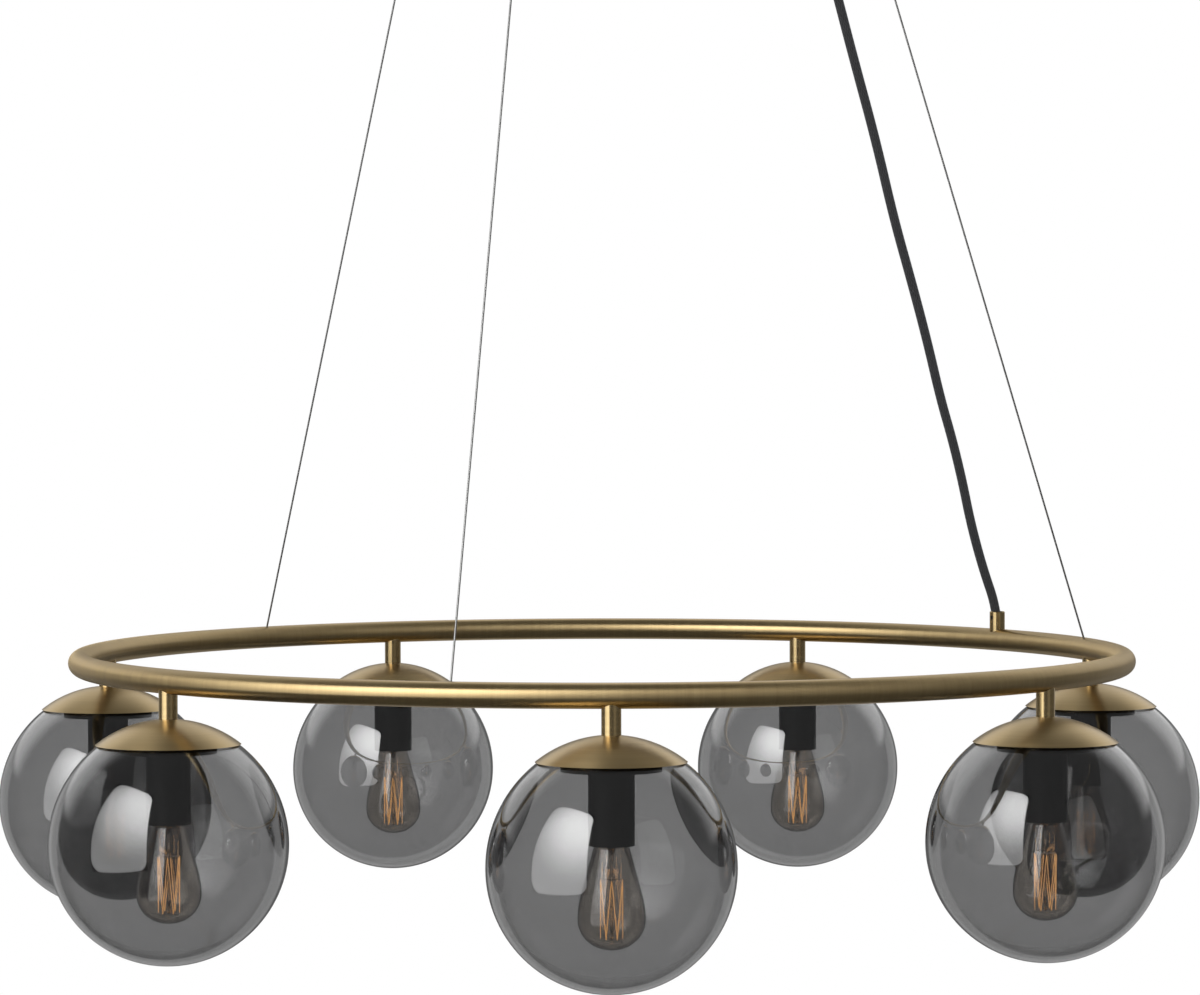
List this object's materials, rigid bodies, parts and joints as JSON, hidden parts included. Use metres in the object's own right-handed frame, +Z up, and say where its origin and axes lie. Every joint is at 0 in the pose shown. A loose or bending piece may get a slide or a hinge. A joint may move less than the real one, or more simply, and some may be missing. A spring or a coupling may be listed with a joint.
{
  "type": "cluster pendant light",
  "caption": "Ceiling pendant: smoked glass globes with filament lamps on short stems under a round brass tube ring, hung from a canopy on thin wires.",
  "frame": {"origin": "on the ceiling bracket's flat back, where it meets the ceiling, on the ring's axis", "axes": "+Z up into the ceiling; -Y is the side that the picture shows, +X to its right"},
  "size_m": [0.8821, 0.8664, 1.2679],
  "materials": {
    "brushed_brass": "antique brass, brushed round the tube",
    "black_metal": "matt black paint",
    "black_socket": "matt black",
    "smoked_glass": "clear smoke grey",
    "lamp_glass": "clear, faintly warm",
    "lamp_cap": "nickel-plated thread",
    "filament_gold": "fine wire",
    "zinc_steel": "zinc plated",
    "dark_screw": "blackened",
    "wire_steel": "stranded steel",
    "textile_cord": "braided textile sleeve",
    "wire_insulation": "silicone insulation",
    "white_block": "moulded",
    "contact_brass": "stamped sheet"
  },
  "bodies": {
    "canopy": {"canopy_cover": "brushed_brass", "ceiling_bracket": "zinc_steel", "terminal_block": "white_block", "wire_grippers": "brushed_brass", "canopy_nuts": "zinc_steel", "canopy_screws": "dark_screw", "canopy_gland": "brushed_brass", "suspension_wires": "wire_steel", "supply_cord": "textile_cord"},
    "ring": {"ring_tube": "brushed_brass", "stems": "brushed_brass", "lock_nuts": "zinc_steel", "glass_retainers": "black_metal", "socket_contacts": "contact_brass", "wiring_loom": "wire_insulation", "ring_gland": "brushed_brass", "gland_screw": "dark_screw", "wire_end_stops": "zinc_steel", "globe_cap_1": "brushed_brass", "globe_cap_2": "brushed_brass", "globe_cap_3": "brushed_brass", "globe_cap_4": "brushed_brass", "globe_cap_5": "brushed_brass", "globe_cap_6": "brushed_brass", "globe_cap_7": "brushed_brass", "lampholder_1": "black_socket", "lampholder_2": "black_socket", "lampholder_3": "black_socket", "lampholder_4": "black_socket", "lampholder_5": "black_socket", "lampholder_6": "black_socket", "lampholder_7": "black_socket"},
    "globe_1": {"globe_glass_1": "smoked_glass"},
    "lamp_1": {"bulb_glass_1": "lamp_glass", "bulb_base_1": "lamp_cap", "filament_1": "filament_gold"},
    "globe_2": {"globe_glass_2": "smoked_glass"},
    "lamp_2": {"bulb_glass_2": "lamp_glass", "bulb_base_2": "lamp_cap", "filament_2": "filament_gold"},
    "globe_3": {"globe_glass_3": "smoked_glass"},
    "lamp_3": {"bulb_glass_3": "lamp_glass", "bulb_base_3": "lamp_cap", "filament_3": "filament_gold"},
    "globe_4": {"globe_glass_4": "smoked_glass"},
    "lamp_4": {"bulb_glass_4": "lamp_glass", "bulb_base_4": "lamp_cap", "filament_4": "filament_gold"},
    "globe_5": {"globe_glass_5": "smoked_glass"},
    "lamp_5": {"bulb_glass_5": "lamp_glass", "bulb_base_5": "lamp_cap", "filament_5": "filament_gold"},
    "globe_6": {"globe_glass_6": "smoked_glass"},
    "lamp_6": {"bulb_glass_6": "lamp_glass", "bulb_base_6": "lamp_cap", "filament_6": "filament_gold"},
    "globe_7": {"globe_glass_7": "smoked_glass"},
    "lamp_7": {"bulb_glass_7": "lamp_glass", "bulb_base_7": "lamp_cap", "filament_7": "filament_gold"}
  },
  "joints": [
    {"name": "height_adjust", "type": "slide", "parent": "canopy", "child": "ring", "axis": [0, 0, 1], "range_m": [0, 0.5], "deforming": ["suspension_wires", "supply_cord"]},
    {"name": "globe_1_pull", "type": "slide", "parent": "ring", "child": "globe_1", "axis": [0, 0, -1], "range_m": [0, 0.13]},
    {"name": "globe_2_pull", "type": "slide", "parent": "ring", "child": "globe_2", "axis": [0, 0, -1], "range_m": [0, 0.13]},
    {"name": "globe_3_pull", "type": "slide", "parent": "ring", "child": "globe_3", "axis": [0, 0, -1], "range_m": [0, 0.13]},
    {"name": "globe_4_pull", "type": "slide", "parent": "ring", "child": "globe_4", "axis": [0, 0, -1], "range_m": [0, 0.13]},
    {"name": "globe_5_pull", "type": "slide", "parent": "ring", "child": "globe_5", "axis": [0, 0, -1], "range_m": [0, 0.13]},
    {"name": "globe_6_pull", "type": "slide", "parent": "ring", "child": "globe_6", "axis": [0, 0, -1], "range_m": [0, 0.13]},
    {"name": "globe_7_pull", "type": "slide", "parent": "ring", "child": "globe_7", "axis": [0, 0, -1], "range_m": [0, 0.13]},
    {"name": "lamp_1_unscrew", "type": "slide", "parent": "ring", "child": "lamp_1", "axis": [0, 0, -1], "range_m": [0, 0.018]},
    {"name": "lamp_2_unscrew", "type": "slide", "parent": "ring", "child": "lamp_2", "axis": [0, 0, -1], "range_m": [0, 0.018]},
    {"name": "lamp_3_unscrew", "type": "slide", "parent": "ring", "child": "lamp_3", "axis": [0, 0, -1], "range_m": [0, 0.018]},
    {"name": "lamp_4_unscrew", "type": "slide", "parent": "ring", "child": "lamp_4", "axis": [0, 0, -1], "range_m": [0, 0.018]},
    {"name": "lamp_5_unscrew", "type": "slide", "parent": "ring", "child": "lamp_5", "axis": [0, 0, -1], "range_m": [0, 0.018]},
    {"name": "lamp_6_unscrew", "type": "slide", "parent": "ring", "child": "lamp_6", "axis": [0, 0, -1], "range_m": [0, 0.018]},
    {"name": "lamp_7_unscrew", "type": "slide", "parent": "ring", "child": "lamp_7", "axis": [0, 0, -1], "range_m": [0, 0.018]}
  ]
}
